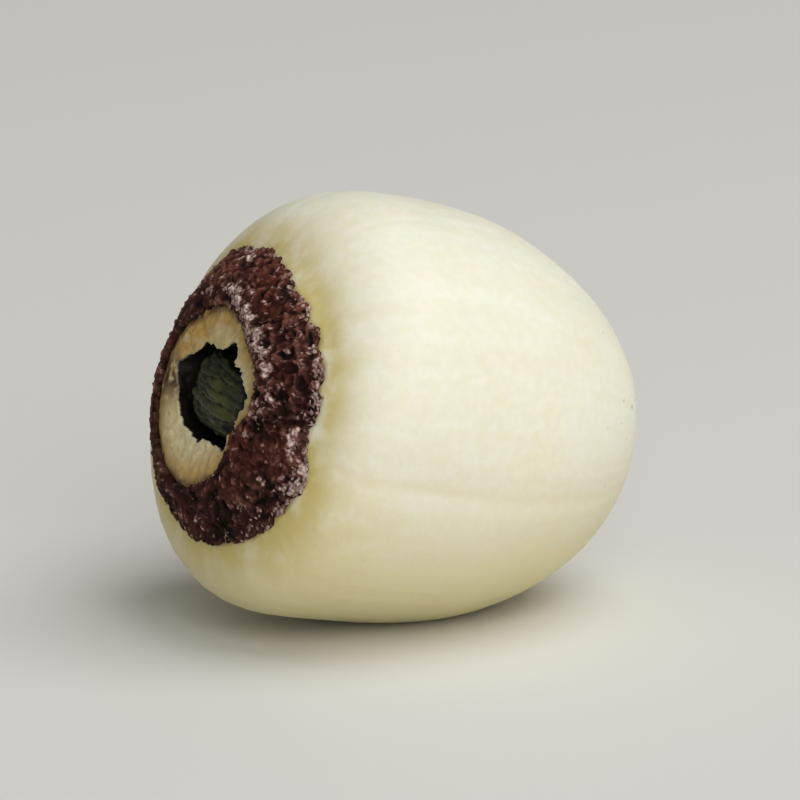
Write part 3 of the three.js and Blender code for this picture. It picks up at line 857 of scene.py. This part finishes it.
furrow_space = np.stack([
    FURROWS_ALONG * skin @ along_seam,
    FURROWS_ALONG * skin @ upright,
    FURROWS_ACROSS * skin @ across_seam,
], axis=-1)
furrows = np.minimum(np.abs(noise_at(furrow_space, 1.0, 62, octaves=3)), FURROW_TOP)
lumps, pits = noise_at(skin, LUMPS_APART, 63), noise_at(skin, PITS_APART, 61, octaves=3)
rise = FURROW_DEPTH * (furrows - FURROW_TOP / 2) + LUMP_HEIGHT * lumps + PIT_DEPTH * pits
print(f"plumule relief from {rise.min():.3f} to {rise.max():.3f} mm")
plumule = new_piece(
    "plumule_skin",
    in_place(skin + skin_normals * rise[:, None]),
    skin_faces,
    {"furrows": np.clip(0.2 + 1.5 * furrows + 0.25 * pits, 0, 1)},
)
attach(plumule, "root")
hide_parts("plumule")

# %% [markdown]
# ## Effects that the finishes share
# All the finishes are natural, so they share two effects: blotches, soft patches that mix one
# colour into another, and fine grain, a small height for a bump. Each is a node group, built once,
# with its size in millimetres as an input, so that every material can use it at its own scale.

# %% Node groups
def add(tree, kind, **settings):
    node = tree.nodes.new(kind)
    for setting, value in settings.items():
        setattr(node, setting, value)
    return node


def set_inputs(node, **values):
    """Sets inputs by name, with _ for a space."""
    for socket, value in values.items():
        node.inputs[socket.replace("_", " ")].default_value = value


def millimetres(tree, size):
    """The place on the object, measured in units of the given size in millimetres."""
    place = add(tree, "ShaderNodeTexCoord")
    whole = add(tree, "ShaderNodeVectorMath", operation="SCALE")
    set_inputs(whole, Scale=1 / MM)
    ratio = add(tree, "ShaderNodeMath", operation="DIVIDE")
    ratio.inputs[0].default_value = 1.0
    scaled = add(tree, "ShaderNodeVectorMath", operation="SCALE")
    tree.links.new(size, ratio.inputs[1])
    tree.links.new(place.outputs["Object"], whole.inputs[0])
    tree.links.new(whole.outputs["Vector"], scaled.inputs[0])
    tree.links.new(ratio.outputs["Value"], scaled.inputs["Scale"])
    return scaled.outputs["Vector"]


def noise_group(name, inputs, output, **settings):
    """A group with a noise texture; returns it, its inputs, the noise and the socket to feed."""
    group = bpy.data.node_groups.new(name, "ShaderNodeTree")
    kind = "NodeSocketFloat"
    for socket, value in inputs.items():
        made = group.interface.new_socket(name=socket, in_out="INPUT", socket_type=kind)
        made.default_value = value
    group.interface.new_socket(name=output, in_out="OUTPUT", socket_type=kind)
    given, texture = add(group, "NodeGroupInput").outputs, add(group, "ShaderNodeTexNoise")
    set_inputs(texture, Scale=1.0, **settings)
    group.links.new(millimetres(group, given["Size"]), texture.inputs["Vector"])
    return group, given, texture.outputs["Fac"], add(group, "NodeGroupOutput").inputs[output]


blotch_inputs = {"Size": 2.0, "Low": 0.4, "High": 0.6}
blotches, given, patches, mask = noise_group("Blotches", blotch_inputs, "Mask", Detail=4.0)
spread = add(blotches, "ShaderNodeMapRange", interpolation_type="SMOOTHSTEP")
blotches.links.new(patches, spread.inputs["Value"])
blotches.links.new(given["Low"], spread.inputs["From Min"])
blotches.links.new(given["High"], spread.inputs["From Max"])
blotches.links.new(spread.outputs["Result"], mask)

fine_grain, given, specks, height = noise_group(
    "Fine grain", {"Size": 0.2}, "Height", Detail=6.0, Roughness=0.6
)
fine_grain.links.new(specks, height)
print("node groups:", [group.name for group in bpy.data.node_groups])

# %% [markdown]
# ## Mixing colours
# A finish here is a base colour over which other colours are laid one after the other, each
# through a mask: a blotch, an attribute of the mesh, or both. Painting on an unwrapped image would
# do it too, but it has to be painted again when the mesh changes. Small helpers make a material,
# its masks and its layers. Colours are given as they look on a screen and turned into the linear
# values that shaders use.

# %% Masks for materials
def new_finish(name):
    material = bpy.data.materials.new(name)
    material.use_nodes = True
    tree = material.node_tree
    return material, tree, tree.nodes["Principled BSDF"]


def group_mask(tree, group, **values):
    node = add(tree, "ShaderNodeGroup", node_tree=group)
    set_inputs(node, **values)
    return node.outputs[0]


def mesh_mask(tree, attribute):
    return add(tree, "ShaderNodeAttribute", attribute_name=attribute).outputs["Fac"]


def times(tree, first, second):
    node = add(tree, "ShaderNodeMath", operation="MULTIPLY", use_clamp=True)
    for socket, value in zip(node.inputs, (first, second)):
        if isinstance(value, float):
            socket.default_value = value
        else:
            tree.links.new(value, socket)
    return node.outputs["Value"]


def ranged(tree, value, low, high, start=0.0, end=1.0):
    """A value from low to high, turned smoothly into one from start to end."""
    node = add(tree, "ShaderNodeMapRange", interpolation_type="SMOOTHSTEP")
    set_inputs(node, From_Min=low, From_Max=high, To_Min=start, To_Max=end)
    tree.links.new(value, node.inputs["Value"])
    return node.outputs["Result"]


print("materials so far:", len(bpy.data.materials))

# %% Layers of colour and grain
def screen_colour(red, green, blue):
    linear = Color((red / 255, green / 255, blue / 255)).from_srgb_to_scene_linear()
    return (*linear, 1.0)


def paint(tree, shader, base, layers):
    """Lays screen colours over a base one by one, each through a mask and at a strength."""
    under = None
    for colour, mask, strength in layers:
        mix = add(tree, "ShaderNodeMix", data_type="RGBA")
        factor, below, above = mix.inputs[0], mix.inputs[6], mix.inputs[7]
        above.default_value = screen_colour(*colour)
        if under is None:
            below.default_value = screen_colour(*base)
        else:
            tree.links.new(under, below)
        tree.links.new(mask if strength == 1 else times(tree, mask, strength), factor)
        under = mix.outputs[2]
    tree.links.new(under, shader.inputs["Base Color"])


def grain_bump(tree, shader, size, strength, depth):
    """Fine grain as a bump, its size and depth in millimetres."""
    node = add(tree, "ShaderNodeBump")
    set_inputs(node, Strength=strength, Distance=depth * MM)
    tree.links.new(group_mask(tree, fine_grain, Size=size), node.inputs["Height"])
    tree.links.new(node.outputs["Normal"], shader.inputs["Normal"])


print("a screen grey of 128 is", round(screen_colour(128, 128, 128)[0], 3), "to a shader")

# %% [markdown]
# ## Seed flesh
# Dried flesh is starchy: light goes in a little way and comes out warmer, which gives the soft,
# waxy look and some yellow in the shade. Subsurface scattering does that, red going furthest.
# Painted shade adds the rest: the kernel is painted yellower and darker towards the floor, the
# hollow is painted near black, and the far and upper sides of the collar and a strip beside the
# mouth are painted darker. Over the cream lie faint yellow blotches, mealy flecks, the yellow
# fringe beside the coat, the brown stain of the torn collar and specks at the round end, each
# through its mask.

# %% Finish of the kernel
CREAM, YELLOWED, MEALY = (241, 239, 219), (238, 234, 205), (248, 245, 232)
STREAK, UNDERSIDE_SHADE, SEAM_TAN = (230, 219, 182), (214, 203, 148), (228, 212, 168)
FRINGE, COLLAR, STAIN_AND_SHADE = (212, 193, 122), (206, 190, 142), (184, 150, 84)
DARK_BAND_AND_SHADE, SPECK, HOLLOW_SHADE = (72, 44, 28), (166, 136, 92), (22, 14, 9)

flesh, tree, shader = new_finish("seed_flesh")
yellowing = group_mask(tree, blotches, Size=4.0, Low=0.4, High=0.8)
flecks = group_mask(tree, blotches, Size=0.3, Low=0.42, High=0.62)
fringe_patches = group_mask(tree, blotches, Size=1.0, Low=0.15, High=0.6)
stain_and_shade_patches = group_mask(tree, blotches, Size=0.7, Low=0.15, High=0.5)
dark_band_patches = group_mask(tree, blotches, Size=0.3, Low=0.3, High=0.55)
speck_patches = group_mask(tree, blotches, Size=0.3, Low=0.64, High=0.76)
dull_patches = group_mask(tree, blotches, Size=1.2, Low=0.3, High=0.7)
paint(tree, shader, CREAM, [
    (YELLOWED, yellowing, 1),
    (MEALY, flecks, 0.4),
    (STREAK, mesh_mask(tree, "streaks"), 0.15),
    # painted shade: yellower and darker towards the floor
    (UNDERSIDE_SHADE, mesh_mask(tree, "underside"), 0.85),
    (SEAM_TAN, mesh_mask(tree, "seam"), 0.25),
    (FRINGE, times(tree, mesh_mask(tree, "fringe"), fringe_patches), 1),
    (COLLAR, mesh_mask(tree, "collar"), 0.85),
    # brown stain beside the coat, with painted shade on the far and upper sides of the collar
    (STAIN_AND_SHADE, times(tree, mesh_mask(tree, "stain_and_shade"), stain_and_shade_patches), 1),
    # a dark band beside the coat's inner edge, and painted shade on the far side of the mouth
    (DARK_BAND_AND_SHADE, times(tree, mesh_mask(tree, "dark_band_and_shade"), dark_band_patches), 1),
    (SPECK, times(tree, mesh_mask(tree, "round_end"), speck_patches), 1),
    # painted shade: the inside of the hollow is painted near black
    (HOLLOW_SHADE, mesh_mask(tree, "inside"), 1),
])
tree.links.new(ranged(tree, dull_patches, 0, 1, 0.54, 0.66), shader.inputs["Roughness"])
set_inputs(shader, Specular_IOR_Level=0.4, Subsurface_Weight=0.35)
set_inputs(shader, Subsurface_Radius=(1.0, 0.6, 0.25), Subsurface_Scale=1.2 * MM)
grain_bump(tree, shader, size=0.25, strength=0.5, depth=0.03)
kernel.data.materials.append(flesh)
print("seed flesh has", len(tree.nodes), "nodes")

# %% [markdown]
# ## Seed coat
# The crust is a dull purple brown, lighter on the grains, reddish at the top and on the lobe. The
# pits are painted almost black as painted shade, and the low side of the ring is painted darker as
# shade. The greyish pink is partly a rubbed scurf and partly painted glints, laid along the upper
# inner edge, the ridge, the notch and the outer edge. One brown with a bump would look like
# leather, so the tone attribute of the mesh separates pits from tops. The flakes use a paler
# brown, each paled further by its own draw, the pale partly standing in for glints.

# %% Finish of the crust
PIT_SHADE, CRUST, TOP = (12, 5, 4), (56, 26, 20), (116, 74, 62)
RED_BROWN, LIGHT_GRAIN, RED_TOP = (82, 36, 25), (138, 94, 80), (114, 55, 40)
SCURF_AND_SHEEN, DUST_AND_GLINT, WORN_EDGE = (134, 98, 87), (220, 199, 192), (112, 80, 60)

crust, tree, shader = new_finish("seed_coat_crust")
tone, scurf_and_glint = mesh_mask(tree, "tone"), mesh_mask(tree, "scurf_and_glint")
reddish = group_mask(tree, blotches, Size=1.4, Low=0.48, High=0.66)
dust_and_glint_specks = group_mask(tree, blotches, Size=0.1, Low=0.34, High=0.62)
worn_patches = group_mask(tree, blotches, Size=0.4, Low=0.45, High=0.6)
own_light = ranged(tree, mesh_mask(tree, "own"), 0.6, 1.0)
near_edge = ranged(tree, mesh_mask(tree, "edge"), 0.78, 1.0)
# the pits are painted almost black as painted shade, the tops lighter
paint(tree, shader, PIT_SHADE, [
    (CRUST, ranged(tree, tone, 0.15, 0.6), 1),
    (TOP, ranged(tree, tone, 0.55, 1.0), 1),
    (RED_BROWN, reddish, 0.4),
    (LIGHT_GRAIN, times(tree, own_light, ranged(tree, tone, 0.4, 0.8)), 0.5),
    (RED_TOP, times(tree, mesh_mask(tree, "red"), ranged(tree, tone, 0.3, 0.9)), 0.65),
    # pale scurf, partly rubbed coat and partly painted glints and sheen
    (SCURF_AND_SHEEN, ranged(tree, scurf_and_glint, 0.0, 0.5), 0.8),
    (DUST_AND_GLINT, times(tree, ranged(tree, scurf_and_glint, 0.15, 0.9), dust_and_glint_specks), 1),
    (WORN_EDGE, times(tree, near_edge, worn_patches), 0.35),
])
tree.links.new(ranged(tree, tone, 0, 1, 0.9, 0.6), shader.inputs["Roughness"])
set_inputs(shader, Specular_IOR_Level=0.14)
grain_bump(tree, shader, size=0.06, strength=0.5, depth=0.02)
coat.data.materials.append(crust)
print("crust has", len(tree.nodes), "nodes")

# %% Finish of the flakes
FLAKE_BROWN, FLAKE_PALE_AND_GLINT, FLAKE_BLOTCH = (96, 66, 58), (222, 204, 196), (120, 88, 74)

flake_finish, tree, shader = new_finish("seed_coat_flakes")
pale = mesh_mask(tree, "pale")
flake_blotches = group_mask(tree, blotches, Size=0.15, Low=0.4, High=0.7)
# the pale of the flakes is partly painted glints
paint(tree, shader, FLAKE_BROWN, [(FLAKE_PALE_AND_GLINT, pale, 1), (FLAKE_BLOTCH, flake_blotches, 0.6)])
tree.links.new(ranged(tree, pale, 0, 1, 0.7, 0.5), shader.inputs["Roughness"])
grain_bump(tree, shader, size=0.05, strength=0.3, depth=0.01)
flakes.data.materials.append(flake_finish)
print("flakes have", len(tree.nodes), "nodes")

# %% [markdown]
# ## Plumule leaf
# Dried leaf is a deep green with a slight waxy gloss. Blotches mix olive in, and the furrows of
# the mesh are painted close to black, a painted shade in the wrinkles.

# %% Finish of the plumule
GREEN, OLIVE, FURROW_SHADE = (30, 34, 15), (70, 72, 34), (11, 11, 6)

leaf, tree, shader = new_finish("plumule_leaf")
olive_patches = group_mask(tree, blotches, Size=1.0, Low=0.35, High=0.75)
between = mesh_mask(tree, "furrows")
furrow_shade = ranged(tree, between, 0.6, 0.15)
# painted shade: the furrows are painted close to black
paint(tree, shader, GREEN, [(OLIVE, olive_patches, 1), (FURROW_SHADE, furrow_shade, 1)])
tree.links.new(ranged(tree, between, 0.2, 0.8, 0.62, 0.45), shader.inputs["Roughness"])
set_inputs(shader, Specular_IOR_Level=0.3)
grain_bump(tree, shader, size=0.1, strength=0.3, depth=0.02)
plumule.data.materials.append(leaf)
print("plumule leaf has", len(tree.nodes), "nodes")

# %% [markdown]
# ## Floor and light
# The seed lies on a plain pale floor. A wide soft light overhead and another from the front make a
# bright picture of low contrast: no hard shadow, a broad soft shine on the upper side, and shade
# only underneath. Lights this near have to be small in watts.

# %% Floor
FLOOR_HALF = 1.5
FLOOR_GREY = (228, 226, 220)
scene = bpy.context.scene

floor_mesh = bpy.data.meshes.new("floor")
floor_sides = ((-1, -1), (1, -1), (1, 1), (-1, 1))
corners = [(FLOOR_HALF * x, FLOOR_HALF * y, 0) for x, y in floor_sides]
floor_mesh.from_pydata(corners, [], [(0, 1, 2, 3)])
floor = bpy.data.objects.new("floor", floor_mesh)
scene.collection.objects.link(floor)
pale_floor, tree, shader = new_finish("pale_floor")
set_inputs(shader, Base_Color=screen_colour(*FLOOR_GREY), Roughness=0.7)
floor_mesh.materials.append(pale_floor)
print("the floor is", 2 * FLOOR_HALF, "m wide")

# %% Lights and sky
middle = (cad_box[0] + cad_box[1]) / 2


def soft_light(name, offset, size, watts):
    lamp = bpy.data.lights.new(name, "AREA")
    lamp.shape, lamp.size, lamp.energy = "DISK", size, watts
    light = bpy.data.objects.new(name, lamp)
    light.location = middle + Vector(offset)
    light.rotation_euler = (-Vector(offset)).to_track_quat("-Z", "Y").to_euler()
    scene.collection.objects.link(light)


soft_light("overhead", (0.2, -0.18, 0.58), size=0.6, watts=2.4)
soft_light("front", (-0.2, -0.6, 0.36), size=0.6, watts=2.5)
sky = bpy.data.worlds.new("soft_sky")
sky.use_nodes = True
set_inputs(sky.node_tree.nodes["Background"], Color=(1.0, 0.99, 0.97, 1.0), Strength=0.18)
scene.world = sky
scene.view_settings.view_transform = "Standard"
print("lights:", [light.name for light in bpy.data.lights])

# %% [markdown]
# ## Camera
# The seed is seen from its front left, a little from above, as a long lens sees it from some way
# off: its near and far parts keep their proportions. The frame is square, and the seed fills a
# good half of it.

# %% Camera
AZIMUTH, ELEVATION = np.radians(-33), np.radians(13)
LENS, SENSOR, FRAME_WIDTH, NEAREST = 300.0, 36.0, 0.0245, 0.01

level = np.cos(ELEVATION)
toward = Vector((np.sin(AZIMUTH) * level, -np.cos(AZIMUTH) * level, np.sin(ELEVATION)))
eye = bpy.data.cameras.new("camera")
eye.lens, eye.sensor_width, eye.clip_start = LENS, SENSOR, NEAREST
camera = bpy.data.objects.new("camera", eye)
camera.location = middle + toward * (FRAME_WIDTH * LENS / SENSOR)
camera.rotation_euler = (-toward).to_track_quat("-Z", "Y").to_euler()
scene.collection.objects.link(camera)
scene.camera = camera
print(f"camera {(camera.location - middle).length / MM:.0f} mm away")
